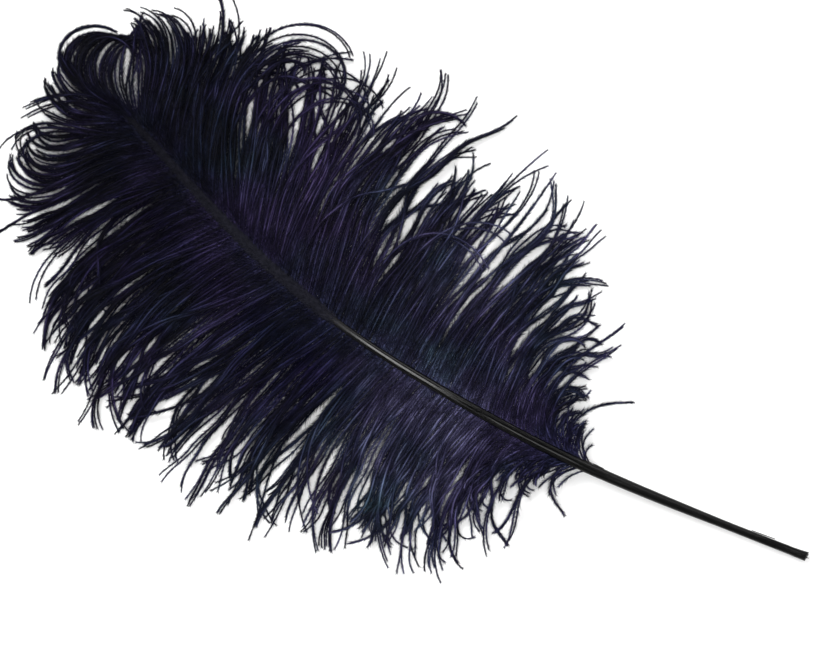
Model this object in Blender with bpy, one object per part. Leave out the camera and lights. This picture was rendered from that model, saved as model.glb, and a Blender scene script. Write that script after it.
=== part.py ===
"""One large dyed ostrich plume, lying with its underside on a flat surface.

The shaft runs from the bare quill at +X to the tip at -X, and the two soft vanes lie to its left and
right, as seen with the quill nearest. +Z is up, and the origin is at the middle of the whole
plume's footprint, on the surface that it lies on.
All the dimensions below are in millimetres. A station is a distance from the cut end of the quill,
measured straight towards the tip, and a side distance is positive on the right vane's side.
"""

import math

import bmesh
import bpy
import numpy as np

MM = 0.001

# The shaft: stations where its course and its size are given, and smooth curves between them.
SHAFT_LENGTH = 377.0
COURSE_STATIONS = (0.0, 60.0, 120.0, 180.0, 240.0, 300.0, 340.0, SHAFT_LENGTH)
COURSE_SIDE = (-0.7, -13.15, -23.6, -28.8, -29.3, -20.5, -11.1, -1.4)
COURSE_HEIGHT = (2.14, 4.3, 7.4, 10.0, 11.0, 9.9, 7.6, 4.6)
WIDTH_STATIONS = (0.0, 8.0, 40.0, 70.0, 105.0, 150.0, 200.0, 240.0, 300.0, 340.0, SHAFT_LENGTH)
HALF_WIDTHS = (2.25, 1.9, 1.85, 2.25, 2.55, 2.4, 2.05, 1.75, 1.45, 1.1, 0.35)
QUILL_FLATTENING = 0.95
RACHIS_FLATTENING = 0.8
RACHIS_SQUARENESS = 0.15
VANE_START = 111.0
CHANNEL_DEPTH = 0.6
CHANNEL_REACH = (150.0, 185.0)
GROOVE_DEPTH = 0.28
SHAFT_RINGS = 84
SHAFT_SIDES = 40
CUT_SLANT = 1.6
BORE_RADIUS = 1.15
BORE_DEPTH = 9.0

# The vanes: closed soft solids that reach the tips of the barbs.
SHAFT_GAP = 0.7
SPLIT_END = (417.0, -7.0)
RIGHT_OUTLINE = (
    (112.0, -17.0),
    (113.0, 8.0),
    (118.0, 32.0),
    (134.0, 57.0),
    (164.0, 72.0),
    (200.0, 80.0),
    (236.0, 87.0),
    (262.0, 86.0),
    (300.0, 84.0),
    (328.0, 82.0),
    (352.0, 68.0),
    (380.0, 52.0),
    (402.0, 39.0),
    (414.0, 22.0),
    (417.5, 5.0),
)
LEFT_OUTLINE = (
    (112.0, -26.0),
    (112.0, -56.0),
    (124.0, -80.0),
    (143.0, -97.0),
    (164.0, -108.0),
    (190.0, -118.0),
    (226.0, -125.0),
    (262.0, -129.0),
    (308.0, -130.0),
    (336.0, -120.0),
    (362.0, -102.0),
    (386.0, -84.0),
    (404.0, -62.0),
    (414.0, -38.0),
    (418.5, -16.0),
)
RIM_HEIGHT = 2.0
CROWN_SHARE = 1.08
CROWN_POWER = 3.6
VANE_STATIONS = 44
VANE_ROWS = 7


def smooth_curve(knots, values, at):
    """Values on a natural cubic spline through the knots."""
    knots = np.asarray(knots, float)
    values = np.asarray(values, float)
    gaps = np.diff(knots)
    slopes = np.diff(values) / gaps
    system = np.eye(len(knots))
    bends = np.zeros(len(knots))
    for i in range(1, len(knots) - 1):
        system[i, i - 1 : i + 2] = (gaps[i - 1], 2 * (gaps[i - 1] + gaps[i]), gaps[i])
        bends[i] = 6 * (slopes[i] - slopes[i - 1])
    curving = np.linalg.solve(system, bends)
    span = np.clip(np.searchsorted(knots, at) - 1, 0, len(gaps) - 1)
    before = np.asarray(at) - knots[span]
    after = knots[span + 1] - np.asarray(at)
    gap = gaps[span]
    cubic = (curving[span] * after**3 + curving[span + 1] * before**3) / (6 * gap)
    left = (values[span] / gap - curving[span] * gap / 6) * after
    right = (values[span + 1] / gap - curving[span + 1] * gap / 6) * before
    return cubic + left + right


def course(stations):
    """The shaft's side distance, height and half-width at each station."""
    side = smooth_curve(COURSE_STATIONS, COURSE_SIDE, stations)
    height = smooth_curve(COURSE_STATIONS, COURSE_HEIGHT, stations)
    half_width = np.interp(stations, WIDTH_STATIONS, HALF_WIDTHS)
    return side, height, half_width


def section(angle, half_width, rachis, channel):
    """One point of the shaft's cross-section: rachis is 0 in the round quill and 1 in the vanes.

    The rachis is squarer than the quill, with a groove below. Along its first part a narrow channel
    runs down the top, between two rounded shoulders.
    """
    flattening = QUILL_FLATTENING + (RACHIS_FLATTENING - QUILL_FLATTENING) * rachis
    power = 1.0 - RACHIS_SQUARENESS * rachis
    share = half_width / HALF_WIDTHS[0]
    across = half_width * math.copysign(abs(math.sin(angle)) ** power, math.sin(angle))
    up = half_width * flattening * math.copysign(abs(math.cos(angle)) ** power, math.cos(angle))
    up -= CHANNEL_DEPTH * channel * share * math.exp(-abs(angle) / 0.28)
    underside = math.pi - abs(angle)
    up += GROOVE_DEPTH * rachis * share * math.exp(-((underside / 0.3) ** 2))
    return across, up


def add_ring(mesh, station, shrink=1.0, slant=0.0):
    """One ring of vertices round the shaft's course."""
    side, height, half_width = (float(v) for v in course(np.array(station)))
    step = 0.5
    before = float(course(np.array(max(station - step, 0.0)))[0])
    after = float(course(np.array(min(station + step, SHAFT_LENGTH)))[0])
    turn = math.atan2(after - before, 2 * step)
    rachis = min(max((station - VANE_START + 25.0) / 40.0, 0.0), 1.0)
    fading = (station - CHANNEL_REACH[0]) / (CHANNEL_REACH[1] - CHANNEL_REACH[0])
    channel = rachis * min(max(1.0 - fading, 0.0), 1.0)
    ring = []
    for i in range(SHAFT_SIDES):
        angle = 2 * math.pi * i / SHAFT_SIDES - math.pi
        across, up = section(angle, half_width * shrink, rachis, channel)
        lean = slant * (1 + up / half_width) / 2
        along = station + lean - across * math.sin(turn)
        ring.append(mesh.verts.new((-along * MM, (side + across * math.cos(turn)) * MM, (height + up) * MM)))
    return ring


def bridge(mesh, ring, other):
    """A band of faces from one ring to the next."""
    for i, vertex in enumerate(ring):
        j = (i + 1) % len(ring)
        mesh.faces.new((vertex, ring[j], other[j], other[i]))


def make_object(name, mesh, material):
    """A named object from a finished bmesh, its faces pointing out."""
    bmesh.ops.recalc_face_normals(mesh, faces=mesh.faces)
    data = bpy.data.meshes.new(name)
    mesh.to_mesh(data)
    mesh.free()
    data.materials.append(material)
    piece = bpy.data.objects.new(name, data)
    bpy.context.scene.collection.objects.link(piece)
    return piece


def make_material(name, colour, roughness):
    """A plain Principled material."""
    material = bpy.data.materials.new(name)
    material.use_nodes = True
    shader = material.node_tree.nodes["Principled BSDF"]
    shader.inputs["Base Color"].default_value = (*colour, 1.0)
    shader.inputs["Roughness"].default_value = roughness
    shader.inputs["Metallic"].default_value = 0.0
    return material


def shaft(material):
    """The quill and the rachis, one grown piece: round and bored at the cut end, pointed at the tip."""
    mesh = bmesh.new()
    wall = BORE_RADIUS / HALF_WIDTHS[0]
    bore = [add_ring(mesh, BORE_DEPTH, wall), add_ring(mesh, 0.0, wall, CUT_SLANT)]
    shares = np.linspace(0.0, 1.0, SHAFT_RINGS)
    outside = [add_ring(mesh, 0.0, 1.0, CUT_SLANT)]
    outside += [add_ring(mesh, SHAFT_LENGTH * share) for share in shares[1:]]
    rings = bore + outside
    for ring, other in zip(rings, rings[1:]):
        bridge(mesh, ring, other)
    mesh.faces.new(rings[0])
    mesh.faces.new(rings[-1])
    piece = make_object("shaft", mesh, material)
    piece.data.shade_smooth()
    piece.data.set_sharp_from_angle(angle=math.radians(50))
    return piece


def outline_points(corners, count):
    """Evenly spaced points on a smooth curve through an outline's corners."""
    corners = np.array(corners)
    steps = np.hypot(*np.diff(corners, axis=0).T)
    reach = np.concatenate(([0.0], np.cumsum(steps)))
    at = np.linspace(0.0, reach[-1], count)
    return np.stack([smooth_curve(reach, corners[:, axis], at) for axis in (0, 1)], axis=1)


def inner_points(side, count):
    """Points along the vane's inner edge: beside the shaft, then down the middle to the tip."""
    reach = np.linspace(VANE_START, SPLIT_END[0], count)
    stations = np.minimum(reach, SHAFT_LENGTH)
    middle, height, half_width = course(stations)
    beyond = (reach - stations) / (SPLIT_END[0] - SHAFT_LENGTH)
    middle = middle + beyond * (SPLIT_END[1] - COURSE_SIDE[-1])
    clear = half_width * (1 - beyond) + SHAFT_GAP
    crown = CROWN_SHARE * (height + half_width * RACHIS_FLATTENING) * (1 - 0.5 * beyond)
    return np.stack([reach, middle + side * clear], axis=1), crown


def vane(name, side, outline, material):
    """One soft closed vane: flat below, highest beside the shaft, thin at the tips of its barbs."""
    outer = outline_points(outline, VANE_STATIONS)
    inner, crown = inner_points(side, VANE_STATIONS)
    mesh = bmesh.new()
    rows = []
    for u in np.linspace(0.0, 1.0, VANE_ROWS):
        spots = inner + u * (outer - inner)
        tops = RIM_HEIGHT + (crown - RIM_HEIGHT) * (1 - u) ** CROWN_POWER
        rows.append([mesh.verts.new((-x * MM, y * MM, z * MM)) for (x, y), z in zip(spots, tops)])
    floor_inner = [mesh.verts.new((-x * MM, y * MM, 0.0)) for x, y in inner]
    floor_outer = [mesh.verts.new((-x * MM, y * MM, 0.0)) for x, y in outer]
    loop = [floor_inner] + rows + [floor_outer]
    for row, other in zip(loop, loop[1:] + loop[:1]):
        for i in range(VANE_STATIONS - 1):
            mesh.faces.new((row[i], row[i + 1], other[i + 1], other[i]))
    for i in (0, VANE_STATIONS - 1):
        mesh.faces.new([row[i] for row in loop])
    piece = make_object(name, mesh, material)
    piece.data.shade_smooth()
    piece.data.set_sharp_from_angle(angle=math.radians(40))
    return piece


def stand_at_origin(pieces):
    """Moves the pieces together, so that their box stands on z = 0 with its middle at x = y = 0."""
    points = np.array([vertex.co for piece in pieces for vertex in piece.data.vertices])
    low, high = points.min(axis=0), points.max(axis=0)
    shift = (-(low[0] + high[0]) / 2, -(low[1] + high[1]) / 2, -low[2])
    for piece in pieces:
        piece.location = shift


def main():
    for piece in list(bpy.data.objects):
        bpy.data.objects.remove(piece, do_unlink=True)
    horn = make_material("black horn", (0.012, 0.011, 0.014), 0.38)
    down = make_material("black plume", (0.010, 0.008, 0.018), 0.8)
    pieces = [
        shaft(horn),
        vane("right_vane", 1, RIGHT_OUTLINE, down),
        vane("left_vane", -1, LEFT_OUTLINE, down),
    ]
    stand_at_origin(pieces)


main()
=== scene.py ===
"""A black ostrich plume lying on a pale surface, grown round its CAD shaft.

The shaft is the CAD's own solid with a horn finish. Each vane is replaced by some hundreds of barbs:
a barb is a thin tapering stem with two rows of barbules, and it follows a few guide barbs that say
how long it is and where it heads. Neighbouring barbs gather into strands and the strands into locks.

Lengths are in millimetres until a mesh is made. A station is a distance along the feather from the
cut end of the quill. A heading is the direction of a barb on the surface, in degrees: 0 is towards
the feather's tip, 90 is straight out from the shaft, and 180 is back towards the quill.
"""

import math

import bpy
import numpy as np
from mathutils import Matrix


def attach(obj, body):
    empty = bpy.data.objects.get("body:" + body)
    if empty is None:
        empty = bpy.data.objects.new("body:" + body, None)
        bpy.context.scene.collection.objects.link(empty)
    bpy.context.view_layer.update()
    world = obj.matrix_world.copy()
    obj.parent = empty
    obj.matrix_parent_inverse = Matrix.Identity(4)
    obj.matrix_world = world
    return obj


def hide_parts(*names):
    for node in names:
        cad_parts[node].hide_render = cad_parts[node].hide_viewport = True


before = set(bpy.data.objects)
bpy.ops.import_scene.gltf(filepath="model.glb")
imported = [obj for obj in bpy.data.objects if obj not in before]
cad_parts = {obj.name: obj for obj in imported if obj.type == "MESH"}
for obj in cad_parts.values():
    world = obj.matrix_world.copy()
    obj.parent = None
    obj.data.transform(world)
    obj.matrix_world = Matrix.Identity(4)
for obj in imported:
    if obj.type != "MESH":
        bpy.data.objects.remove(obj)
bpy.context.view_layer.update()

MM = 0.001
RIGHT, LEFT = 1, -1

# Guide barbs: station of the root, length, then the heading at the root, at one third, at two
# thirds and at the tip.
RIGHT_GUIDES = (
    (112, 18, 24, 46, 84, 120),
    (120, 26, 26, 54, 94, 120),
    (128, 38, 36, 68, 104, 120),
    (137, 58, 52, 84, 110, 118),
    (150, 82, 68, 92, 112, 118),
    (168, 102, 78, 94, 112, 118),
    (190, 106, 82, 92, 104, 110),
    (212, 102, 82, 88, 95, 100),
    (232, 106, 80, 84, 90, 92),
    (242, 118, 77, 82, 93, 96),
    (250, 120, 74, 80, 98, 100),
    (262, 124, 68, 84, 118, 118),
    (266, 92, 67, 82, 104, 108),
    (271, 84, 66, 80, 66, 48),
    (278, 92, 64, 74, 60, 50),
    (285, 108, 62, 70, 56, 60),
    (300, 110, 57, 63, 68, 120),
    (314, 90, 56, 65, 84, 134),
    (323, 87, 54, 65, 72, -10),
    (331, 82, 54, 67, 82, 84),
    (340, 72, 56, 70, 88, 84),
    (348, 68, 60, 74, 70, -4),
    (356, 64, 56, 68, 44, -20),
    (363, 60, 54, 62, 40, -18),
    (366, 66, 22, 38, 118, 216),
    (371, 73, 5, 18, 114, 224),
    (376, 80, -3, 10, 108, 206),
)
LEFT_GUIDES = (
    (112, 20, 12, 34, 70, 96),
    (122, 32, 24, 54, 84, 102),
    (135, 60, 52, 82, 96, 106),
    (152, 74, 74, 92, 102, 116),
    (170, 80, 80, 93, 103, 116),
    (188, 88, 82, 91, 99, 112),
    (206, 93, 80, 86, 95, 112),
    (224, 108, 74, 80, 88, 98),
    (242, 108, 68, 75, 80, 84),
    (252, 107, 64, 71, 75, 82),
    (264, 109, 61, 68, 74, 80),
    (278, 111, 60, 66, 78, 92),
    (290, 112, 58, 66, 83, 114),
    (298, 112, 58, 67, 87, 124),
    (306, 107, 57, 66, 84, 118),
    (314, 102, 56, 65, 81, 112),
    (328, 93, 54, 62, 78, 102),
    (340, 86, 50, 59, 69, 62),
    (348, 76, 47, 58, 62, 4),
    (354, 78, 43, 60, 40, -96),
    (360, 67, 38, 58, 32, -104),
    (366, 52, 30, 40, 16, -60),
    (371, 50, 18, 22, -10, -76),
    (376, 42, 0, -8, -30, -100),
)

# Loose barbs that stand clear of the vanes: side, then as a guide, then how high the tip lifts.
LOOSE_BARBS = (
    (RIGHT, 298, 150, 58, 60, 128, 300, 9),
    (RIGHT, 303, 146, 58, 62, 130, 268, 11),
    (RIGHT, 292, 132, 60, 66, 120, 244, 8),
    (RIGHT, 306, 140, 57, 62, 126, 240, 12),
    (RIGHT, 288, 128, 62, 66, 116, 214, 7),
    (RIGHT, 310, 138, 56, 64, 116, 226, 9),
    (RIGHT, 294, 138, 60, 66, 136, 262, 6),
    (RIGHT, 285, 116, 62, 68, 120, 250, 8),
    (RIGHT, 279, 114, 66, 78, 100, 44, 5),
    (RIGHT, 275, 112, 66, 82, 92, 66, 6),
    (RIGHT, 282, 112, 66, 84, 112, 70, 6),
    (RIGHT, 326, 104, 54, 66, 70, -20, 6),
    (RIGHT, 318, 100, 55, 66, 74, 10, 6),
    (RIGHT, 215, 124, 90, 92, 98, 118, 5),
    (RIGHT, 198, 112, 88, 92, 96, 84, 4),
    (RIGHT, 205, 110, 86, 92, 104, 60, 5),
    (RIGHT, 176, 106, 82, 90, 92, 64, 4),
    (RIGHT, 186, 110, 84, 96, 108, 70, 5),
    (RIGHT, 230, 98, 82, 86, 146, 214, 7),
    (RIGHT, 224, 96, 84, 88, 120, 190, 7),
    (RIGHT, 121, 46, 60, 96, 132, 146, 4),
    (RIGHT, 127, 62, 44, 80, 110, 112, 4),
    (RIGHT, 131, 72, 48, 82, 110, 104, 4),
    (LEFT, 113, 34, 40, 84, 146, 156, 3),
    (LEFT, 114, 56, 26, 72, 112, 90, 3),
    (LEFT, 118, 52, 34, 78, 100, 64, 2),
    (LEFT, 130, 60, 56, 84, 108, 140, 3),
    (LEFT, 150, 84, 70, 92, 104, 146, 3),
    (LEFT, 168, 88, 82, 92, 84, 42, 4),
    (LEFT, 178, 92, 84, 92, 84, 30, 4),
    (LEFT, 186, 90, 84, 96, 116, 150, 4),
    (LEFT, 204, 98, 80, 84, 106, 140, 3),
    (LEFT, 216, 98, 78, 84, 112, 150, 4),
    (LEFT, 222, 98, 74, 80, 78, 60, 4),
    (LEFT, 248, 102, 66, 70, 60, 40, 3),
    (LEFT, 256, 104, 62, 68, 58, 34, 3),
    (LEFT, 304, 110, 58, 66, 88, 150, 4),
    (LEFT, 322, 102, 54, 62, 84, 140, 3),
    (LEFT, 334, 96, 52, 60, 74, 120, 3),
    (LEFT, 346, 92, 46, 54, 62, 70, 4),
    (LEFT, 352, 88, 44, 54, 56, 0, 4),
    (LEFT, 357, 74, 40, 54, 30, -90, 5),
    (LEFT, 362, 66, 52, 26, 40, 110, 5),
    (LEFT, 363, 70, 56, 24, 36, 104, 5),
    (LEFT, 364, 60, 50, 24, 30, 96, 5),
    (LEFT, 372, 52, 6, 22, 46, 64, 5),
    (LEFT, 374, 49, -2, 18, 46, 68, 5),
    (LEFT, 375, 45, 2, 16, 40, 62, 5),
    (RIGHT, 346, 74, 60, 74, 68, -28, 6),
    (RIGHT, 350, 73, 62, 74, 64, -36, 6),
    (RIGHT, 353, 70, 66, 74, 56, -30, 5),
    (RIGHT, 358, 68, 64, 72, 50, -26, 5),
    (RIGHT, 361, 64, 60, 68, 44, -30, 5),
)

# Partings, where neighbouring barbs draw apart: side, root station, where along the barb the
# opening begins and ends, and its width.
PARTINGS = (
    (RIGHT, 150, 0.75, 1.00, 2.4),
    (RIGHT, 172, 0.70, 0.95, 2.4),
    (RIGHT, 183, 0.70, 1.00, 5.0),
    (RIGHT, 190, 0.56, 0.92, 7.4),
    (RIGHT, 198, 0.58, 0.92, 5.0),
    (RIGHT, 204, 0.66, 0.95, 3.4),
    (RIGHT, 208, 0.36, 0.62, 4.6),
    (RIGHT, 213, 0.62, 1.00, 4.4),
    (RIGHT, 227, 0.56, 0.90, 3.6),
    (RIGHT, 235, 0.26, 0.62, 8.0),
    (RIGHT, 242, 0.64, 0.84, 1.2),
    (RIGHT, 267, 0.56, 1.00, 5.0),
    (RIGHT, 272, 0.60, 0.85, 2.6),
    (RIGHT, 278, 0.62, 0.92, 3.0),
    (RIGHT, 284, 0.50, 0.88, 4.0),
    (RIGHT, 293, 0.36, 0.88, 6.4),
    (RIGHT, 304, 0.22, 0.80, 6.0),
    (RIGHT, 320, 0.55, 0.80, 3.0),
    (RIGHT, 336, 0.60, 1.00, 3.0),
    (RIGHT, 345, 0.50, 1.00, 3.4),
    (RIGHT, 352, 0.50, 0.95, 3.0),
    (RIGHT, 358, 0.45, 0.95, 2.6),
    (RIGHT, 365, 0.40, 0.95, 2.4),
    (RIGHT, 369, 0.40, 0.80, 1.6),
    (RIGHT, 374, 0.36, 0.74, 4.0),
    (LEFT, 146, 0.70, 0.90, 1.6),
    (LEFT, 162, 0.75, 0.90, 1.6),
    (LEFT, 180, 0.66, 0.90, 1.8),
    (LEFT, 190, 0.58, 0.86, 2.4),
    (LEFT, 197, 0.52, 0.84, 2.2),
    (LEFT, 204, 0.34, 0.70, 3.3),
    (LEFT, 211, 0.54, 0.90, 3.3),
    (LEFT, 222, 0.54, 0.84, 1.6),
    (LEFT, 231, 0.66, 0.90, 1.2),
    (LEFT, 240, 0.40, 0.62, 1.0),
    (LEFT, 254, 0.50, 0.70, 1.2),
    (LEFT, 271, 0.60, 0.90, 1.8),
    (LEFT, 284, 0.74, 0.90, 1.8),
    (LEFT, 291, 0.56, 0.88, 2.0),
    (LEFT, 303, 0.70, 0.90, 2.4),
    (LEFT, 313, 0.60, 0.80, 1.6),
    (LEFT, 320, 0.56, 0.80, 1.8),
    (LEFT, 328, 0.64, 0.90, 1.8),
    (LEFT, 337, 0.60, 0.90, 1.8),
    (LEFT, 345, 0.70, 0.90, 2.6),
    (LEFT, 352, 0.64, 0.90, 2.0),
    (LEFT, 359, 0.56, 0.90, 2.2),
    (LEFT, 366, 0.56, 0.94, 4.6),
)

SEED = 23
BARBS_A_LAYER = 300
PIECES_A_SIDE = 3
POINTS = 30
TIP_CROWDING = 0.4
COURSE_DEGREE = 7

# Where the guides are evened out less: near the foot of the vanes, and near their tip.
SHARP_FOOT = (114, 140)
SHARP_TIP = (328, 350)
SHARPNESS = 0.88

# Past this stretch, the barbs are rooted further out and higher on the shaft: shares of its
# half-width.
ROOT_SHIFT = (225, 262)
ROOT_OUT = 0.62
ROOT_OUT_GAIN = 0.3
ROOT_RISE = 0.3

# Barb stems, and the rows of barbules on them.
STEM_HALF_WIDTH = 0.36
STEM_TIP_HALF_WIDTH = 0.26
STEM_RIDGE = 0.5
BARBULE_SPACING = 0.42
BARBULE_OUTER_SPACING = 0.25
BARBULE_LENGTH = 3.6
BARBULE_OUTER_LENGTH = 2.9
BARBULE_TIP_LENGTH = 1.9
BARBULE_WIDTH = 0.4
BARBULE_ANGLE = math.radians(27)
BARBULE_TIP_ANGLE = math.radians(25)
# How near the foot, the heel and the tip of a barbule come to the colour of a stem, which is 1: the
# paler stems are painted sheen, the darker tips painted shade.
BARBULE_CORE = (0.8, 0.6, 0.0)
# Barbules grow from short to full length along this stretch.
FLUFF_STRETCH = (112, 138)

# Strands of a few barbs and locks of many: how many or how wide, how long, where along the barbs
# they gather, and how closely they do so at the feather's tip.
STRAND_BARBS = (1, 4)
STRAND_LENGTHS = (0.93, 1.04)
STRAND_REACH = (0.08, 0.8)
LOCK_WIDTHS = (8.0, 21.0)
LOCK_LENGTHS = (0.93, 1.07)
LOCK_REACH = (0.4, 1.0)
GATHERED_TIP = (338, 356)
TIP_TIGHT = 0.9
TIP_HOLD = 0.22

# How far barbs turn from their guides, in degrees. Turns and hooks are spreads, and the strand hook
# has a mean before its spread. Some strands of the right vane's curly stretch curl, a few strands
# anywhere are wild, and barbs turn more near the foot and less near the tip.
LOCK_TURN = 1.3
STRAND_HOOK = (8.0, 30.0)
BARB_TURN = 2.5
BARB_HOOK = 12.0
STRAND_WAVE = 10.0
BARB_WAVE = 5.0
WAVE_TURNS = (1.5, 5.0)
CURLY_STRETCH = (286, 332)
CURLY_SHARE = 0.45
CURLS = (20.0, 120.0)
WILD_SHARE = 0.14
WILD_TURN = 20.0
WILD_FOOT = (140, 205)
CALM_TIP = (335, 352)
CALMNESS = 0.75

# Each vane has two layers: how widely the guides are evened out, how closely strands and locks
# gather, how far they stray, how high they lie, how much of each barb is kept, how long their
# barbules are, and how widely the partings open them.
LAYERS = (
    {
        "even": 16.0, "tight": (0.0, 0.5), "hold": (0.0, 0.12), "stray": 5.0,
        "lay": (0.2, 2.6), "kept": (0.93, 0.06), "fluff": 1.6, "open": 0.5,
    },
    {
        "even": 4.0, "tight": (0.5, 0.95), "hold": (0.0, 0.26), "stray": 8.0,
        "lay": (1.5, 6.5), "kept": (0.93, 0.07), "fluff": 1.0, "open": 1.1,
    },
)
BARB_KEPT = (0.93, 1.0)
LEAST_KEPT = 0.4

# Stretches where many strands have lost their outer part: side, station, reach along the shaft
# and the share of the strands. Under them is how much of such a strand is left.
THIN_STRETCHES = (
    (RIGHT, 199, 22, 0.52),
    (RIGHT, 300, 13, 0.35),
    (LEFT, 200, 14, 0.25),
)
WORN_LENGTH = 0.52

# Heights: over what distance a barb comes down from the shaft, how the heap thins outwards, its
# swell beside the shaft, its waves as height and length, and the barbs whose tips lift.
FLOOR_CLEARANCE = 0.25
FALL_DISTANCE = 34.0
HEAP_THINNING = 0.72
SWELL_DISTANCE = 28.0
HEIGHT_WAVES = ((0.5, 9.0), (0.4, 4.7))
LAY_SPREAD = 0.4
LIFTED_SHARE = 0.25
LIFTS = (1.0, 7.0)

# The small pieces: bundles of loose barbs, wisps at the foot, the nap and the slivers.
LOOSE_BUNDLE = 2
WISPS = ((RIGHT, 18), (LEFT, 20))
WISP_STRETCH = (107.0, 128.0)
WISP_LENGTHS = (9.0, 20.0)
WISP_FLUFF = 0.5
SHEATH_THREADS = 10
BARB_STUBS = 5
SLIVER_THICKNESS = 0.5
NAP_BLADES = 9000
NAP_START = (236, 258)
NAP_LENGTHS = (1.2, 2.8)
NAP_HALF_WIDTH = 0.17

# How much of what picks a barb's tone and its streak of painted sheen comes from its strand, its lock
# and itself.
STRAND_TINT_AND_SHEEN = 0.55
LOCK_TINT_AND_SHEEN = 0.25
BARB_TINT_AND_SHEEN = 0.2

# Broad patches where the dye took differently: station, distance out to the right of the shaft,
# radius, and how much lighter or darker the red, green and blue are.
DYE_PATCHES = (
    (180, -28, 52, (2.1, 2.4, 1.9)),
    (206, 52, 34, (1.7, 1.9, 1.6)),
    (288, 38, 46, (1.9, 1.75, 1.65)),
    (336, 22, 30, (0.55, 0.85, 0.70)),
    (344, -34, 44, (0.55, 0.50, 0.65)),
    (250, -26, 40, (0.70, 0.60, 0.90)),
)
DYE_HEIGHT = 4.0

# Fades along the feather, from one station to another: the dye's brightness, the nap's darkness,
# the shaft's dust and its roughness.
PLUME_FADE = (400, 110)
NAP_FADE = (285, 365)
DUST_FADE = (215, 262)
ROUGHNESS_FADE = (0, 300)

# The stage, in metres and watts. The floor's glow grows between two distances from the middle.
FLOOR_HALF_SIDE = 6.0
FLOOR_DROP = 0.0002
FLOOR_GLOW = (0.45, 1.3)
SKY_STRENGTH = (0.95, 0.08)
# Lamps: name, place, width, depth and power.
LAMPS = (
    ("overhead", (0.01, -0.05, 1.6), 0.27, 0.7, 15.0),
    ("key", (-1.1, 0.35, 1.2), 0.8, 0.8, 27.0),
    ("side", (0.15, 1.0, 0.9), 0.5, 0.35, 4.0),
)
CAMERA_PLACE = (-0.003, 0.0094, 0.885)
CAMERA_TURN = math.radians(33.35)
CAMERA_LENS = 85
CAMERA_SENSOR = 36


def smoothstep(low, high, value):
    """Runs smoothly from 0 at the low value to 1 at the high one."""
    share = np.clip((value - low) / (high - low), 0.0, 1.0)
    return share * share * (3 - 2 * share)


class Course:
    """The shaft's middle line and half-width, read from the CAD shaft."""

    def __init__(self, node):
        data = bpy.data.objects[node].data
        points = np.empty(len(data.vertices) * 3)
        data.vertices.foreach_get("co", points)
        points = points.reshape(-1, 3) / MM
        self.quill_end = points[:, 0].max()
        stations = self.quill_end - points[:, 0]
        self.length = stations.max()
        self.side = np.polynomial.Polynomial.fit(stations, points[:, 1], COURSE_DEGREE)
        self.height = np.polynomial.Polynomial.fit(stations, points[:, 2], COURSE_DEGREE)
        self.spots = np.linspace(4.0, self.length - 4.0, 30)
        off = np.abs(points[:, 1] - self.side(stations))
        self.half_widths = [off[np.abs(stations - spot) < 7].max() for spot in self.spots]

    def half_width(self, stations):
        """Half of the shaft's width at each station."""
        return np.interp(stations, self.spots, self.half_widths)


def guide_values(guides, stations, even):
    """Length and four headings at each station, between the guides, evened out over a distance."""
    table = np.array(guides, float)
    offsets = np.linspace(-1.5, 1.5, 7)
    weights = np.exp(-(offsets**2))
    near_ends = np.maximum(smoothstep(*SHARP_TIP, stations), 1 - smoothstep(*SHARP_FOOT, stations))
    even = even * (1 - SHARPNESS * near_ends[:, None])
    spots = np.clip(stations[:, None] + offsets * even, table[0, 0], table[-1, 0])
    columns = [np.interp(spots, table[:, 0], table[:, i]) @ weights for i in range(1, 6)]
    return np.stack(columns, axis=1) / weights.sum()


def heading_blend(shares):
    """Weights that turn four headings, a third apart, into a smooth run of headings."""
    knots = np.array([0.0, 1 / 3, 2 / 3, 1.0])
    weights = np.ones((len(shares), 4))
    for i in range(4):
        for j in range(4):
            if i != j:
                weights[:, i] *= (shares - knots[j]) / (knots[i] - knots[j])
    return weights


def root_share(stations):
    """How far out across the shaft the barbs are rooted."""
    return ROOT_OUT + ROOT_OUT_GAIN * smoothstep(*ROOT_SHIFT, stations)


def trace(course, side, stations, lengths, headings):
    """Paths on the surface from roots beside the shaft, as arrays of barbs by points by x and y."""
    steps = lengths[:, None] / (POINTS - 1)
    angles = np.radians(headings)
    middle = (angles[:, 1:] + angles[:, :-1]) / 2
    root = np.zeros((len(stations), 1))
    x = np.concatenate([root, np.cumsum(-np.cos(middle) * steps, axis=1)], axis=1)
    y = np.concatenate([root, np.cumsum(np.sin(middle) * steps, axis=1)], axis=1)
    root_x = course.quill_end - stations
    root_y = course.side(stations) + side * course.half_width(stations) * root_share(stations)
    return np.stack([root_x[:, None] + x, root_y[:, None] + side * y], axis=2)


def thinness(side, stations):
    """The share of the strands at each station that have lost their outer part."""
    share = np.zeros(len(stations))
    for thin_side, station, reach, amount in THIN_STRETCHES:
        if thin_side == side:
            share += amount * np.exp(-(((stations - station) / reach) ** 4))
    return share


def group_starts(count, sizes, rng):
    """The first member of each of a row of groups of random sizes."""
    starts = [0]
    while starts[-1] < count:
        starts.append(starts[-1] + int(rng.integers(sizes[0], sizes[1] + 1)))
    return np.array(starts[:-1])


def members(starts, count):
    """Which group each of a row of barbs belongs to."""
    return np.searchsorted(starts, np.arange(count), side="right") - 1


def gather(paths, starts, strength, begin, end):
    """Draws the members of each group towards its middle member, more so along their length."""
    shares = np.linspace(0, 1, POINTS)
    ends = np.append(starts[1:], len(paths))
    leaders = (starts + ends - 1) // 2
    pull = strength[:, None] * smoothstep(begin, end, shares)[None, :]
    target = paths[leaders[members(starts, len(paths))]]
    return paths + (target - paths) * pull[:, :, None]


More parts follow.
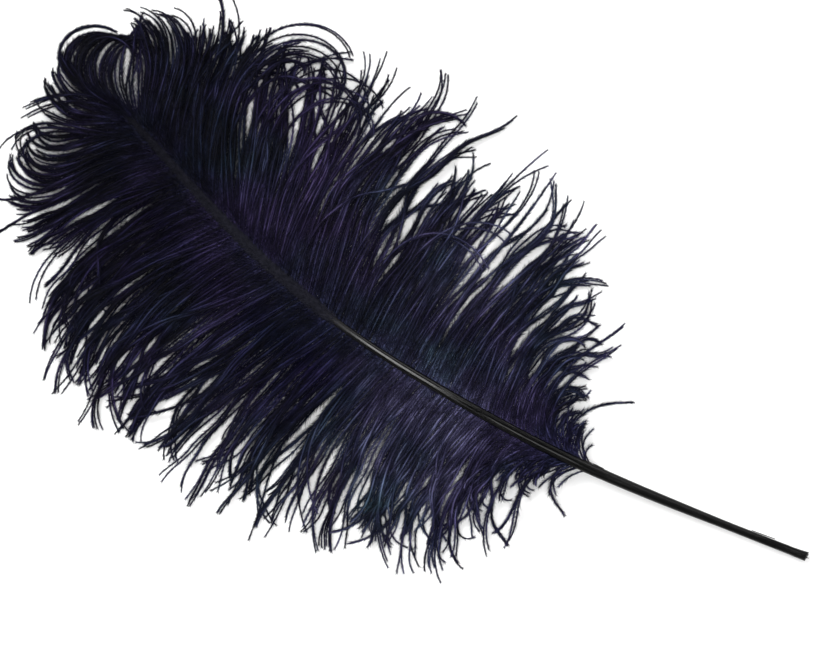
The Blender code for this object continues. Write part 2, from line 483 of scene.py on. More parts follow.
def open_partings(paths, side, stations, openness):
    """Draws the barbs on each side of a parting away from it."""
    shares = np.linspace(0, 1, POINTS)[None, :]
    tangents = np.gradient(paths, axis=1)
    tangents /= np.linalg.norm(tangents, axis=2, keepdims=True)
    across = np.stack([-tangents[..., 1], tangents[..., 0]], axis=-1) * side
    for parting_side, station, begin, end, width in PARTINGS:
        if parting_side != side:
            continue
        away = stations - station
        middle = (begin + end) / 2
        reach = (end - begin) / 2
        opening = np.exp(-(((shares - middle) / reach) ** 2) * 1.6)
        push = openness * np.sign(away) * width / 2 * np.exp(-np.abs(away) / (width * 1.5))
        paths = paths + across * (opening * push[:, None])[:, :, None]
    return paths


def trim(paths, shares_kept):
    """Cuts each path short, to its share of its length."""
    at = np.linspace(0, 1, POINTS)[None, :] * shares_kept[:, None] * (POINTS - 1)
    low = np.clip(at.astype(int), 0, POINTS - 2)
    between = (at - low)[:, :, None]
    rows = np.arange(len(paths))[:, None]
    return paths[rows, low] * (1 - between) + paths[rows, low + 1] * between


def drape(course, paths, stations, lay, lift, rng):
    """Adds heights: off the shaft, down to where the barb lies in the heap, then up by its lift."""
    shares = np.linspace(0, 1, POINTS)[None, :]
    steps = np.hypot(*np.moveaxis(np.diff(paths, axis=1), 2, 0))
    reach = np.concatenate([np.zeros((len(paths), 1)), np.cumsum(steps, axis=1)], axis=1)
    rise = ROOT_RISE * smoothstep(*ROOT_SHIFT, stations)
    root = (course.height(stations) + rise * course.half_width(stations))[:, None]
    fall = np.exp(-((reach / FALL_DISTANCE) ** 1.6))
    thinning = 1 - HEAP_THINNING * smoothstep(0.25, 1.0, shares)
    rest = FLOOR_CLEARANCE + lay[:, None] * thinning
    swell = np.sin(math.pi * np.clip(reach / SWELL_DISTANCE, 0, 1)) ** 2
    phases = rng.uniform(0, 2 * math.pi, (len(paths), len(HEIGHT_WAVES), 1))
    waves = np.zeros_like(reach)
    for i, (size, length) in enumerate(HEIGHT_WAVES):
        waves = waves + size * np.sin(reach / length + phases[:, i])
    loose = smoothstep(0.15, 0.6, shares)
    height = root * fall + rest * (1 - fall) + swell + waves * loose + lift[:, None] * shares**3
    height = np.maximum(height, FLOOR_CLEARANCE)
    return np.concatenate([paths, height[:, :, None]], axis=2)


def root_stations(course, guides, rng):
    """Where the barbs of one layer leave the shaft, closer together towards its tip."""
    shares = np.linspace(0, 1, BARBS_A_LAYER)
    warped = shares + TIP_CROWDING * shares * (1 - shares)
    first, last = guides[0][0], guides[-1][0]
    stations = first + (last - first) * warped + rng.normal(0, 0.3, BARBS_A_LAYER)
    return np.clip(stations, first, min(last, course.length - 0.5))


def unruly(headings, side, stations, locks, strands, stray, rng):
    """Turns each lock, each strand and each barb a little from the guides, most at its tip."""
    along = np.linspace(0, 1, POINTS)[None, :]
    count = len(stations)
    lock = members(locks, count)
    strand = members(strands, count)
    turn = rng.normal(0, LOCK_TURN, len(locks))[lock] + rng.normal(0, stray, len(strands))[strand]
    bow = rng.normal(0, stray, len(strands))[strand]
    hook = rng.normal(*STRAND_HOOK, len(strands))[strand]
    own_turn = rng.normal(0, BARB_TURN, count)
    own_hook = rng.normal(0, BARB_HOOK, count)
    curly = (rng.random(len(strands)) < CURLY_SHARE)[strand]
    curly = curly & (side == RIGHT) & (stations > CURLY_STRETCH[0]) & (stations < CURLY_STRETCH[1])
    curl = np.where(curly, rng.uniform(*CURLS, len(strands))[strand], 0.0)
    is_wild = rng.random(len(strands)) < WILD_SHARE
    wild = np.where(is_wild, rng.normal(0, WILD_TURN, len(strands)), 0.0)[strand]
    change = (turn + own_turn)[:, None] * along**1.4
    change = change + bow[:, None] * np.sin(math.pi * along**1.3)
    change = change + wild[:, None] * smoothstep(0.35, 0.8, along)
    change = change + (hook + own_hook)[:, None] * smoothstep(0.65, 1.05, along)
    change = change + curl[:, None] * smoothstep(0.5, 1.0, along)
    for groups, size in ((strand, STRAND_WAVE), (np.arange(count), BARB_WAVE)):
        turns = rng.uniform(*WAVE_TURNS, (count, 1))[groups]
        phase = rng.uniform(0, 2 * math.pi, (count, 1))[groups]
        change = change + size * along * np.sin(2 * math.pi * along * turns + phase)
    wilder = 1 + (1 - smoothstep(*WILD_FOOT, stations)) - CALMNESS * smoothstep(*CALM_TIP, stations)
    return headings + change * wilder[:, None]


def grow_layer(course, side, guides, layer, edges, rng):
    """The barbs of one layer of one vane: root stations, paths, the values that pick each barb's tone
    and painted sheen, and fluffiness.
    """
    stations = root_stations(course, guides, rng)
    values = guide_values(guides, stations, layer["even"])
    headings = values[:, 1:] @ heading_blend(np.linspace(0, 1, POINTS)).T
    count = len(stations)
    locks = np.searchsorted(np.sort(stations), edges[:, 0])
    lock = members(locks, count)
    strands = group_starts(count, STRAND_BARBS, rng)
    strand = members(strands, count)
    headings = unruly(headings, side, stations, locks, strands, layer["stray"], rng)
    lengths = values[:, 0] * edges[lock, 1] * rng.uniform(*STRAND_LENGTHS, len(strands))[strand]
    paths = trace(course, side, stations, lengths, headings)
    at_tip = smoothstep(*GATHERED_TIP, stations)
    tight = rng.uniform(*layer["tight"], len(strands))[strand] * rng.uniform(0.85, 1.0, count)
    tight = tight + (TIP_TIGHT - tight) * at_tip
    paths = gather(paths, strands, tight, *STRAND_REACH)
    hold = rng.uniform(*layer["hold"], len(strands))[strand]
    hold = hold + (TIP_HOLD - hold) * at_tip
    paths = gather(paths, locks, hold, *LOCK_REACH)
    paths = open_partings(paths, side, stations, layer["open"])
    kept = rng.normal(*layer["kept"], len(strands))[strand] * rng.uniform(*BARB_KEPT, count)
    worn = rng.random(len(strands))[strand] < thinness(side, stations)
    kept = np.where(worn, kept * WORN_LENGTH, kept)
    paths = trim(paths, np.clip(kept, LEAST_KEPT, 1.0))
    lay = rng.uniform(*layer["lay"], len(strands))[strand] + rng.normal(0, LAY_SPREAD, count)
    lifted = rng.random(count) < LIFTED_SHARE
    lift = np.where(lifted, rng.uniform(*LIFTS, count), 0.0)
    paths = drape(course, paths, stations, np.maximum(lay, 0.0), lift, rng)
    # Each barb's tint value picks its tone and its streak of painted sheen in the plume material.
    tint_and_sheen = rng.random(len(strands))[strand] * STRAND_TINT_AND_SHEEN + rng.random(count) * BARB_TINT_AND_SHEEN
    tint_and_sheen = tint_and_sheen + rng.random(len(locks))[lock] * LOCK_TINT_AND_SHEEN
    fluff = layer["fluff"] * (0.4 + 0.6 * smoothstep(*FLUFF_STRETCH, stations))
    return stations, paths, tint_and_sheen, fluff


def grow_side(course, side, guides, rng):
    """Both layers of one vane, in the order of their roots: paths, the values that pick each barb's
    tone and painted sheen, and fluffiness.
    """
    first, last = guides[0][0], guides[-1][0]
    # Both layers share the locks: where each starts, and how long its barbs are.
    widths = rng.uniform(*LOCK_WIDTHS, int((last - first) / LOCK_WIDTHS[0]))
    starts = first + np.concatenate([[0.0], np.cumsum(widths)])
    starts = starts[starts < last - LOCK_WIDTHS[0]]
    edges = np.stack([starts, rng.uniform(*LOCK_LENGTHS, len(starts))], axis=1)
    grown = zip(*[grow_layer(course, side, guides, layer, edges, rng) for layer in LAYERS])
    stations, *rest = (np.concatenate(values) for values in grown)
    order = np.argsort(stations)
    return [values[order] for values in rest]


def grow_loose(course, rng):
    """The loose barbs, each a slim bundle along its own row: paths, the values that pick each barb's
    tone and painted sheen, and fluffiness.
    """
    grown = []
    shares = np.linspace(0, 1, POINTS)
    for side, station, length, *rest in LOOSE_BARBS:
        spread = rng.normal(0, 1, (LOOSE_BUNDLE, 3))
        turns = spread[:, :1] * 0.8 * shares + spread[:, 1:2] * 6.0 * smoothstep(0.7, 1.1, shares)
        headings = np.array(rest[:4], float) @ heading_blend(shares).T + turns
        stations = np.full(LOOSE_BUNDLE, float(station))
        lengths = length * (1 - 0.05 * np.abs(spread[:, 2]))
        path = trace(course, side, stations, lengths, headings)
        lay = rng.uniform(4.5, 5.5, LOOSE_BUNDLE)
        grown.append(drape(course, path, stations, lay, np.full(LOOSE_BUNDLE, float(rest[4])), rng))
    paths = np.concatenate(grown)
    return paths, rng.random(len(paths)), np.ones(len(paths))


def grow_wisps(course, rng):
    """The short soft barbs round the foot of the vanes, each lying its own way."""
    grown = []
    blend = heading_blend(np.linspace(0, 1, POINTS)).T
    for side, count in WISPS:
        stations = rng.uniform(*WISP_STRETCH, count)
        lengths = rng.uniform(*WISP_LENGTHS, count)
        lengths = lengths + 24.0 * smoothstep(108, 124, stations) * rng.random(count)
        first = rng.uniform(12.0, 50.0, count)
        turns = rng.normal(30.0, 24.0, (count, 3)).cumsum(axis=1) * 0.6
        headings = np.concatenate([first[:, None], first[:, None] + turns], axis=1)
        paths = trace(course, side, stations, lengths, headings @ blend)
        lay = rng.uniform(0.5, 5.0, count)
        grown.append(drape(course, paths, stations, lay, rng.uniform(0.0, 5.0, count), rng))
    paths = np.concatenate(grown)
    return paths, rng.random(len(paths)), np.full(len(paths), WISP_FLUFF)


def grow_slivers(course, rng):
    """Ragged threads of old sheath on the end of the quill, and stubs of lost barbs at its top."""
    count = SHEATH_THREADS + BARB_STUBS
    is_thread = np.arange(count) < SHEATH_THREADS
    first = np.where(is_thread, rng.uniform(10.0, 30.0, count), rng.uniform(98.0, 110.0, count))
    length = np.where(is_thread, rng.uniform(6.0, 15.0, count), rng.uniform(-5.0, -2.5, count))
    around = rng.uniform(-1.7, 1.7, count)
    around = np.where(is_thread, around, np.where(around > 0, 1.3, -1.3))
    shares = np.linspace(0, 1, POINTS)[None, :]
    stations = np.maximum(first[:, None] - length[:, None] * shares, 0.4)
    angle = around[:, None] + rng.normal(0, 0.12, (count, 1)) * shares
    peel = rng.uniform(0.0, 0.35, (count, 1)) * shares**2
    radius = course.half_width(stations) * 0.96 + peel
    y = course.side(stations) + radius * np.sin(angle)
    z = np.maximum(course.height(stations) + 0.95 * radius * np.cos(angle), FLOOR_CLEARANCE)
    return np.stack([course.quill_end - stations, y, z], axis=2)


def velvet(course, rng):
    """Short blades that cover the top of the upper rachis and soften its edges."""
    stations = rng.uniform(NAP_START[0], course.length, NAP_BLADES)
    stations = stations[rng.random(NAP_BLADES) < smoothstep(*NAP_START, stations)]
    count = len(stations)
    off = rng.uniform(-1.0, 1.0, count)
    half = course.half_width(stations) * 1.2
    top = course.height(stations) + course.half_width(stations) * (0.80 - 0.55 * np.abs(off) ** 3)
    foot = np.stack([course.quill_end - stations, course.side(stations) + off * half, top], axis=1)
    angle = np.radians(off * 35 + rng.normal(0, 16, count))
    length = rng.uniform(*NAP_LENGTHS, count) * (0.6 + 0.4 * half / half.max())
    rise = rng.uniform(-0.15, 0.45, count)
    ahead = np.stack([-np.cos(angle), np.sin(angle), rise], axis=1)
    across = np.stack([np.sin(angle), np.cos(angle), rng.normal(0, 0.5, count)], axis=1)
    across = across * NAP_HALF_WIDTH
    corners = [foot - across, foot + across, foot + ahead * length[:, None]]
    vertices = np.stack(corners, axis=1).reshape(-1, 3)
    return vertices, np.arange(len(vertices)).reshape(-1, 3)


def sideways(tangents):
    """Two unit directions across each path: one level with the surface, and one mostly up."""
    level = np.stack([-tangents[..., 1], tangents[..., 0], np.zeros(tangents.shape[:-1])], axis=-1)
    level /= np.maximum(np.linalg.norm(level, axis=-1, keepdims=True), 1e-9)
    return level, np.cross(tangents, level)


def stems(paths, thickness=1.0):
    """Tapering stems, each with a flat underside and a ridge along the top.

    With the vertices and the faces come each vertex's share of the length and the number of its barb.
    """
    count = len(paths)
    tangents = np.gradient(paths, axis=1)
    tangents /= np.linalg.norm(tangents, axis=2, keepdims=True)
    level, up = sideways(tangents)
    shares = np.linspace(0, 1, POINTS)
    taper = (1 - shares**8) * (0.75 + 0.25 * smoothstep(0, 0.2, shares))
    half = STEM_TIP_HALF_WIDTH + (STEM_HALF_WIDTH - STEM_TIP_HALF_WIDTH) * taper
    half = half[None, :, None] * thickness
    corners = [paths + level * half, paths + up * half * STEM_RIDGE, paths - level * half]
    vertices = np.stack(corners, axis=2)
    sides = len(corners)
    index = np.arange(count * POINTS * sides).reshape(count, POINTS, sides)
    here, there = index[:, :-1, :], index[:, 1:, :]
    around, beyond = np.roll(here, -1, axis=2), np.roll(there, -1, axis=2)
    faces = np.concatenate([
        np.stack([here, around, beyond], axis=-1).reshape(-1, 3),
        np.stack([here, beyond, there], axis=-1).reshape(-1, 3),
    ])
    along = np.broadcast_to(shares[None, :, None], index.shape)
    barb = np.broadcast_to(np.arange(count)[:, None, None], index.shape)
    return vertices.reshape(-1, 3), faces, along.reshape(-1), barb.reshape(-1)


def barbule_shares():
    """Shares of a barb's length, and the share of its barbules that lie before each of them."""
    shares = np.linspace(0, 1, 101)
    outer = smoothstep(0.3, 0.6, shares)
    spacing = BARBULE_SPACING + (BARBULE_OUTER_SPACING - BARBULE_SPACING) * outer
    before = np.concatenate([[0.0], np.cumsum(np.diff(shares) / spacing[1:])])
    return shares, before


def barbules(paths, fluff, rng):
    """Rows of slender blades down both sides of each barb, swept towards its tip.

    They come with the same four values as the stems.
    """
    steps = np.linalg.norm(np.diff(paths, axis=1), axis=2)
    reach = np.concatenate([np.zeros((len(paths), 1)), np.cumsum(steps, axis=1)], axis=1)
    shares, before = barbule_shares()
    vertices, along, barb = [], [], []
    for i, path in enumerate(paths):
        length = reach[i, -1]
        count = max(int(length * before[-1]), 4)
        turn = (np.arange(count) + rng.uniform(0.1, 0.9, count)) * before[-1] / count
        share = np.tile(np.interp(turn, before, shares), 2)
        at = share * (length - 0.05)
        sides = np.repeat([1.0, -1.0], count)
        foot = np.stack([np.interp(at, reach[i], path[:, k]) for k in range(3)], axis=1)
        heel_at = np.minimum(at + BARBULE_WIDTH, length)
        heel = np.stack([np.interp(heel_at, reach[i], path[:, k]) for k in range(3)], axis=1)
        slope = np.gradient(path, reach[i], axis=0)
        tangent = np.stack([np.interp(at, reach[i], slope[:, k]) for k in range(3)], axis=1)
        tangent /= np.linalg.norm(tangent, axis=1, keepdims=True)
        level, up = sideways(tangent)
        sizes = (BARBULE_LENGTH * fluff[i], BARBULE_OUTER_LENGTH, BARBULE_TIP_LENGTH)
        size = np.interp(share, (0.3, 0.75, 1.0), sizes)
        size = size * rng.uniform(0.6, 1.25, len(at)) * (0.35 + 0.65 * smoothstep(0.0, 4.0, at))
        angle = np.interp(share, (0.7, 1.0), (BARBULE_ANGLE, BARBULE_TIP_ANGLE))
        angle = angle * rng.uniform(0.6, 1.4, len(at)) * (1 + 1.2 * np.exp(-at / 2.5))
        roll = rng.normal(0, 0.6, len(at))
        out = level * (sides * np.cos(roll))[:, None] + up * np.sin(roll)[:, None]
        ahead = tangent * np.cos(angle)[:, None] + out * np.sin(angle)[:, None]
        tip = foot + size[:, None] * ahead
        tip[:, 2] = np.maximum(tip[:, 2], FLOOR_CLEARANCE * 0.3)
        vertices.append(np.stack([foot, heel, tip], axis=1).reshape(-1, 3))
        along.append(np.repeat(share, 3))
        barb.append(np.full(len(at) * 3, i))
    vertices = np.concatenate(vertices)
    faces = np.arange(len(vertices)).reshape(-1, 3)
    return vertices, faces, np.concatenate(along), np.concatenate(barb)


def add_piece(name, vertices, faces, slot, stands_for, material):
    """A mesh of triangles, given in millimetres, riding on the root body. Returns its mesh data."""
    data = bpy.data.meshes.new(name)
    data.vertices.add(len(vertices))
    data.vertices.foreach_set("co", (vertices * MM).astype(np.float32).ravel())
    data.loops.add(len(faces) * 3)
    data.loops.foreach_set("vertex_index", faces.astype(np.int32).ravel())
    data.polygons.add(len(faces))
    data.polygons.foreach_set("loop_start", np.arange(0, len(faces) * 3, 3, dtype=np.int32))
    data.update(calc_edges=True)
    data.materials.append(material)
    piece = bpy.data.objects.new(name, data)
    bpy.context.scene.collection.objects.link(piece)
    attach(piece, "root")
    if stands_for:
        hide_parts(*stands_for)
    return data


def barb_piece(name, barbs, stands_for, material, rng):
    """One mesh of barbs, with the values that their colour follows."""
    paths, tints_and_sheens, fluff = barbs
    stem_points, stem_faces, stem_along, stem_barb = stems(paths)
    blade_points, blade_faces, blade_along, blade_barb = barbules(paths, fluff, rng)
    vertices = np.concatenate([stem_points, blade_points])
    faces = np.concatenate([stem_faces, blade_faces + len(stem_points)])
    along = np.concatenate([stem_along, blade_along])
    # Stems carry core 1, painted paler as sheen; barbules fade from it towards painted shade at their
    # tips.
    core = np.concatenate([np.ones(len(stem_points)), np.tile(BARBULE_CORE, len(blade_faces))])
    # The tint value carried to the mesh picks each barb's tone and its streak of painted sheen.
    tint_and_sheen = tints_and_sheens[np.concatenate([stem_barb, blade_barb])]
    data = add_piece(name, vertices, faces, "plume", stands_for, material)
    for label, values in (("along", along), ("tint_and_sheen", tint_and_sheen), ("core", core)):
        layer = data.attributes.new(label, "FLOAT", "POINT")
        layer.data.foreach_set("value", values.astype(np.float32))
    smooth = np.zeros(len(faces), dtype=bool)
    smooth[: len(stem_faces)] = True
    data.polygons.foreach_set("use_smooth", smooth)


class Nodes:
    """A material's node tree, with short calls for adding and joining nodes."""

    def __init__(self, name):
        self.material = bpy.data.materials.new(name)
        self.material.use_nodes = True
        self.tree = self.material.node_tree
        self.shader = self.tree.nodes["Principled BSDF"]

    def add(self, kind, **values):
        """A new node, with values for its sockets or its settings."""
        node = self.tree.nodes.new(kind)
        for key, value in values.items():
            if key in node.inputs:
                node.inputs[key].default_value = value
            else:
                setattr(node, key, value)
        return node

    def join(self, source, target):
        """Links an output to an input."""
        self.tree.links.new(source, target)

    def multiply(self, source, other):
        """The product of two colours."""
        node = self.add("ShaderNodeMix", data_type="RGBA", blend_type="MULTIPLY")
        node.inputs["Factor"].default_value = 1.0
        self.join(source, node.inputs["A"])
        self.join(other, node.inputs["B"])
        return node.outputs["Result"]

    def between_stations(self, course, x, begin, end):
        """A value that runs from 0 at one station to 1 at another."""
        node = self.add("ShaderNodeMapRange")
        node.inputs["From Min"].default_value = (course.quill_end - begin) * MM
        node.inputs["From Max"].default_value = (course.quill_end - end) * MM
        self.join(x, node.inputs["Value"])
        return node.outputs["Result"]

    def ramp(self, source, stops):
        """A colour ramp along a value, with its stops as places and colours."""
        node = self.tree.nodes.new("ShaderNodeValToRGB")
        elements = node.color_ramp.elements
        while len(elements) < len(stops):
            elements.new(0.5)
        for element, (place, colour) in zip(elements, stops):
            element.position = place
            element.color = (*colour, 1.0)
        self.join(source, node.inputs["Fac"])
        return node


def plume_material(course):
    """Dyed down: blue-black and purple-black, slate near the quill, with stems painted paler as
    painted sheen, and strands in streaks that are partly their own tone and partly painted sheen and
    painted shade.
    """
    nodes = Nodes("plume")
    place = nodes.add("ShaderNodeTexCoord")
    patches = nodes.add("ShaderNodeTexNoise", Scale=26.0, Detail=3.0, Roughness=0.6)
    nodes.join(place.outputs["Object"], patches.inputs["Vector"])
    hue = nodes.ramp(patches.outputs["Fac"], (
        (0.34, (0.0021, 0.0029, 0.0070)),
        (0.48, (0.0027, 0.0026, 0.0086)),
        (0.62, (0.0043, 0.0032, 0.0112)),
    ))
    tint_and_sheen = nodes.add("ShaderNodeAttribute", attribute_name="tint_and_sheen")
    along = nodes.add("ShaderNodeAttribute", attribute_name="along")
    spot = nodes.add("ShaderNodeCombineXYZ")
    nodes.join(along.outputs["Fac"], spot.inputs["X"])
    nodes.join(tint_and_sheen.outputs["Fac"], spot.inputs["Y"])
    stretch = nodes.add("ShaderNodeMapping")
    stretch.inputs["Scale"].default_value = (4.0, 60.0, 1.0)
    nodes.join(spot.outputs["Vector"], stretch.inputs["Vector"])
    streaks = nodes.add("ShaderNodeTexNoise", Scale=1.0, Detail=2.0, Roughness=0.5)
    nodes.join(stretch.outputs["Vector"], streaks.inputs["Vector"])
    # Streaks along each strand: partly the strand's own tone, partly painted sheen on lit strands and
    # painted shade in the gaps between them.
    shade = nodes.ramp(streaks.outputs["Fac"], (
        (0.32, (0.22, 0.22, 0.22)),
        (0.50, (1.0, 1.0, 1.0)),
        (0.70, (4.6, 4.9, 3.9)),
    ))
    core = nodes.add("ShaderNodeAttribute", attribute_name="core")
    # Painted sheen and shade: stems 2.4 times paler as a sheen line along each barb, barbule tips
    # darker as shade between the barbs.
    stem_sheen_tip_shade = nodes.ramp(core.outputs["Fac"], (
        (0.0, (0.35, 0.35, 0.35)),
        (0.6, (0.9, 0.9, 0.9)),
        (1.0, (2.4, 2.4, 2.4)),
    ))
    parts = nodes.add("ShaderNodeSeparateXYZ")
    nodes.join(place.outputs["Object"], parts.inputs["Vector"])
    towards_quill = nodes.between_stations(course, parts.outputs["X"], *PLUME_FADE)
    fading = nodes.ramp(towards_quill, (
        (0.0, (0.55, 0.55, 0.60)),
        (0.35, (0.90, 0.86, 0.94)),
        (0.60, (1.30, 1.35, 1.20)),
        (0.82, (2.1, 2.3, 1.9)),
        (0.92, (1.6, 1.6, 1.6)),
        (1.0, (1.1, 1.1, 1.1)),
    ))
    colour = nodes.multiply(hue.outputs["Color"], shade.outputs["Color"])
    colour = nodes.multiply(colour, stem_sheen_tip_shade.outputs["Color"])
    colour = nodes.multiply(colour, fading.outputs["Color"])
    for station, out, radius, change in DYE_PATCHES:
        middle = (course.quill_end - station, course.side(station) + out, DYE_HEIGHT)
        away = nodes.add("ShaderNodeVectorMath", operation="DISTANCE")
        away.inputs[1].default_value = [value * MM for value in middle]
        nodes.join(place.outputs["Object"], away.inputs[0])
        ragged = nodes.add("ShaderNodeMath", operation="MULTIPLY_ADD")
        ragged.inputs[1].default_value = radius * MM
        nodes.join(patches.outputs["Fac"], ragged.inputs[0])
        nodes.join(away.outputs["Value"], ragged.inputs[2])
        share = nodes.add("ShaderNodeMapRange", interpolation_type="SMOOTHSTEP")
        share.inputs["From Min"].default_value = radius * MM * 1.5
        share.inputs["From Max"].default_value = radius * MM * 0.8
        nodes.join(ragged.outputs["Value"], share.inputs["Value"])
        patch = nodes.add("ShaderNodeMix", data_type="RGBA", blend_type="MULTIPLY")
        nodes.join(share.outputs["Result"], patch.inputs["Factor"])
        nodes.join(colour, patch.inputs["A"])
        patch.inputs["B"].default_value = (*change, 1.0)
        colour = patch.outputs["Result"]
    nodes.join(colour, nodes.shader.inputs["Base Color"])
    rough = nodes.add("ShaderNodeMapRange")
    rough.inputs["To Min"].default_value = 0.45
    rough.inputs["To Max"].default_value = 0.65
    nodes.join(streaks.outputs["Fac"], rough.inputs["Value"])
    nodes.join(rough.outputs["Result"], nodes.shader.inputs["Roughness"])
    nodes.shader.inputs["Specular IOR Level"].default_value = 0.05
    return nodes.material


def velvet_material(course):
    """The short dull nap on the upper rachis, darker towards the tip."""
    nodes = Nodes("velvet")
    place = nodes.add("ShaderNodeTexCoord")
    patches = nodes.add("ShaderNodeTexNoise", Scale=600.0, Detail=2.0, Roughness=0.6)
    nodes.join(place.outputs["Object"], patches.inputs["Vector"])
    colour = nodes.ramp(patches.outputs["Fac"], (
        (0.35, (0.0056, 0.0058, 0.0096)),
        (0.65, (0.0130, 0.0130, 0.0200)),
    ))
    parts = nodes.add("ShaderNodeSeparateXYZ")
    nodes.join(place.outputs["Object"], parts.inputs["Vector"])
    towards_tip = nodes.between_stations(course, parts.outputs["X"], *NAP_FADE)
    fading = nodes.ramp(towards_tip, (
        (0.0, (1.0, 1.0, 1.0)),
        (1.0, (0.45, 0.45, 0.50)),
    ))
    colour = nodes.multiply(colour.outputs["Color"], fading.outputs["Color"])
    nodes.join(colour, nodes.shader.inputs["Base Color"])
    nodes.shader.inputs["Roughness"].default_value = 0.8
    nodes.shader.inputs["Specular IOR Level"].default_value = 0.07
    return nodes.material


def horn_material(course):
    """Dyed horn: satin with fine lengthwise lines on the quill, dull and dusty up the rachis."""
    nodes = Nodes("horn")
    place = nodes.add("ShaderNodeTexCoord")
    stretch = nodes.add("ShaderNodeMapping")
    stretch.inputs["Scale"].default_value = (18.0, 900.0, 900.0)
    nodes.join(place.outputs["Object"], stretch.inputs["Vector"])
    lines = nodes.add("ShaderNodeTexNoise", Scale=1.0, Detail=4.0, Roughness=0.65)
    nodes.join(stretch.outputs["Vector"], lines.inputs["Vector"])
    colour = nodes.ramp(lines.outputs["Fac"], (
        (0.30, (0.0002, 0.0002, 0.0003)),
        (0.58, (0.0006, 0.0006, 0.0007)),
        (0.75, (0.0070, 0.0068, 0.0075)),
    ))
    parts = nodes.add("ShaderNodeSeparateXYZ")
    nodes.join(place.outputs["Object"], parts.inputs["Vector"])
    dust = nodes.between_stations(course, parts.outputs["X"], *DUST_FADE)
    dusty = nodes.add("ShaderNodeMix", data_type="RGBA")
    nodes.join(dust, dusty.inputs["Factor"])
    nodes.join(colour.outputs["Color"], dusty.inputs["A"])
    dusty.inputs["B"].default_value = (0.0060, 0.0058, 0.0075, 1.0)
    nodes.join(dusty.outputs["Result"], nodes.shader.inputs["Base Color"])
    towards_tip = nodes.between_stations(course, parts.outputs["X"], *ROUGHNESS_FADE)
    rough = nodes.ramp(towards_tip, (
        (0.30, (0.30, 0.30, 0.30)),
        (0.45, (0.17, 0.17, 0.17)),
        (0.74, (0.17, 0.17, 0.17)),
        (0.87, (0.78, 0.78, 0.78)),
    ))
    nodes.join(rough.outputs["Color"], nodes.shader.inputs["Roughness"])
    bump = nodes.add("ShaderNodeBump", Strength=0.25, Distance=0.0002)
    nodes.join(lines.outputs["Fac"], bump.inputs["Height"])
    nodes.join(bump.outputs["Normal"], nodes.shader.inputs["Normal"])
    nodes.shader.inputs["Specular IOR Level"].default_value = 0.15
    return nodes.material


def make_floor():
    """A plain white surface, which glows a little far out so that it stays white there."""
    half = FLOOR_HALF_SIDE
    corners = [(-half, -half), (half, -half), (half, half), (-half, half)]
    data = bpy.data.meshes.new("floor")
    data.from_pydata([(x, y, -FLOOR_DROP) for x, y in corners], [], [(0, 1, 2, 3)])
    floor = bpy.data.objects.new("floor", data)
    bpy.context.scene.collection.objects.link(floor)
    paper = Nodes("floor")
    paper.shader.inputs["Base Color"].default_value = (0.9, 0.9, 0.9, 1.0)
    paper.shader.inputs["Roughness"].default_value = 0.9
    paper.shader.inputs["Specular IOR Level"].default_value = 0.1
    place = paper.add("ShaderNodeTexCoord")
    distance = paper.add("ShaderNodeVectorMath", operation="LENGTH")
    paper.join(place.outputs["Object"], distance.inputs[0])
    glow = paper.add("ShaderNodeMapRange")
    glow.inputs["From Min"].default_value = FLOOR_GLOW[0]
    glow.inputs["From Max"].default_value = FLOOR_GLOW[1]
    paper.join(distance.outputs["Value"], glow.inputs["Value"])
    paper.join(glow.outputs["Result"], paper.shader.inputs["Emission Strength"])
    data.materials.append(paper.material)


def make_surround():
    """White all round, bright at the horizon and dim overhead."""
    world = bpy.data.worlds.new("surround")
    world.use_nodes = True
    tree = world.node_tree
    place = tree.nodes.new("ShaderNodeTexCoord")
    parts = tree.nodes.new("ShaderNodeSeparateXYZ")
    sky = tree.nodes.new("ShaderNodeMapRange")
    sky.inputs["To Min"].default_value = SKY_STRENGTH[0]
    sky.inputs["To Max"].default_value = SKY_STRENGTH[1]
    tree.links.new(place.outputs["Generated"], parts.inputs["Vector"])
    tree.links.new(parts.outputs["Z"], sky.inputs["Value"])
    tree.links.new(sky.outputs["Result"], tree.nodes["Background"].inputs["Strength"])
    tree.nodes["Background"].inputs["Color"].default_value = (1.0, 1.0, 1.0, 1.0)
    bpy.context.scene.world = world


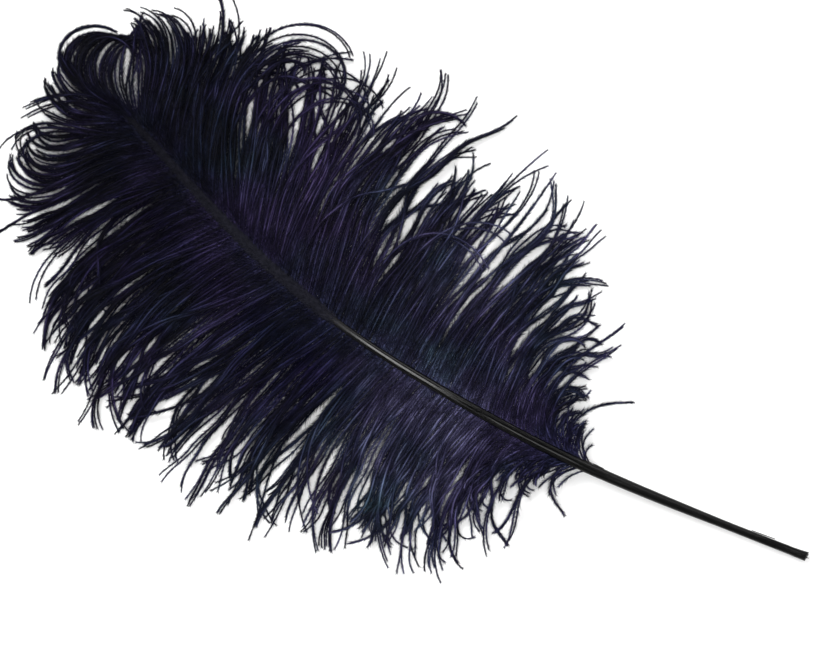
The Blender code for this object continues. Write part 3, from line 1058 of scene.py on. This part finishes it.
def add_lamp(name, place, width, stem_sheen_tip_shade, power):
    """A soft rectangular lamp, turned towards the middle of the floor."""
    light = bpy.data.lights.new(name, "AREA")
    light.shape = "RECTANGLE"
    light.size = width
    light.size_y = stem_sheen_tip_shade
    light.energy = power
    holder = bpy.data.objects.new(name, light)
    holder.location = place
    x, y, z = -np.array(place)
    holder.rotation_euler = (math.atan2(y, math.hypot(x, z)), -math.atan2(x, -z), 0)
    bpy.context.scene.collection.objects.link(holder)


def add_camera():
    """Straight above the plume, turned so that the quill runs to the lower right."""
    data = bpy.data.cameras.new("camera")
    data.lens = CAMERA_LENS
    data.sensor_width = CAMERA_SENSOR
    holder = bpy.data.objects.new("camera", data)
    holder.location = CAMERA_PLACE
    holder.rotation_euler = (0, 0, CAMERA_TURN)
    bpy.context.scene.collection.objects.link(holder)
    bpy.context.scene.camera = holder


def main():
    course = Course("shaft")
    rng = np.random.default_rng(SEED)
    plume = plume_material(course)
    for name, side, guides, node in (
        ("right_barbs", RIGHT, RIGHT_GUIDES, "right_vane"),
        ("left_barbs", LEFT, LEFT_GUIDES, "left_vane"),
    ):
        barbs = grow_side(course, side, guides, rng)
        cuts = np.linspace(0, len(barbs[0]), PIECES_A_SIDE + 1).astype(int)
        for i in range(PIECES_A_SIDE):
            share = [values[cuts[i] : cuts[i + 1]] for values in barbs]
            barb_piece(f"{name}_{i + 1}", share, [node], plume, rng)
    both = ["right_vane", "left_vane"]
    barb_piece("loose_barbs", grow_loose(course, rng), both, plume, rng)
    barb_piece("base_wisps", grow_wisps(course, rng), both, plume, rng)
    add_piece("rachis_nap", *velvet(course, rng), "plume", both, velvet_material(course))
    horn = horn_material(course)
    points, faces, *_ = stems(grow_slivers(course, rng), SLIVER_THICKNESS)
    add_piece("quill_slivers", points, faces, "horn", [], horn)
    bpy.data.objects["shaft"].material_slots[0].material = horn
    make_floor()
    make_surround()
    for lamp in LAMPS:
        add_lamp(*lamp)
    add_camera()
    bpy.context.scene.view_settings.view_transform = "Standard"


main()
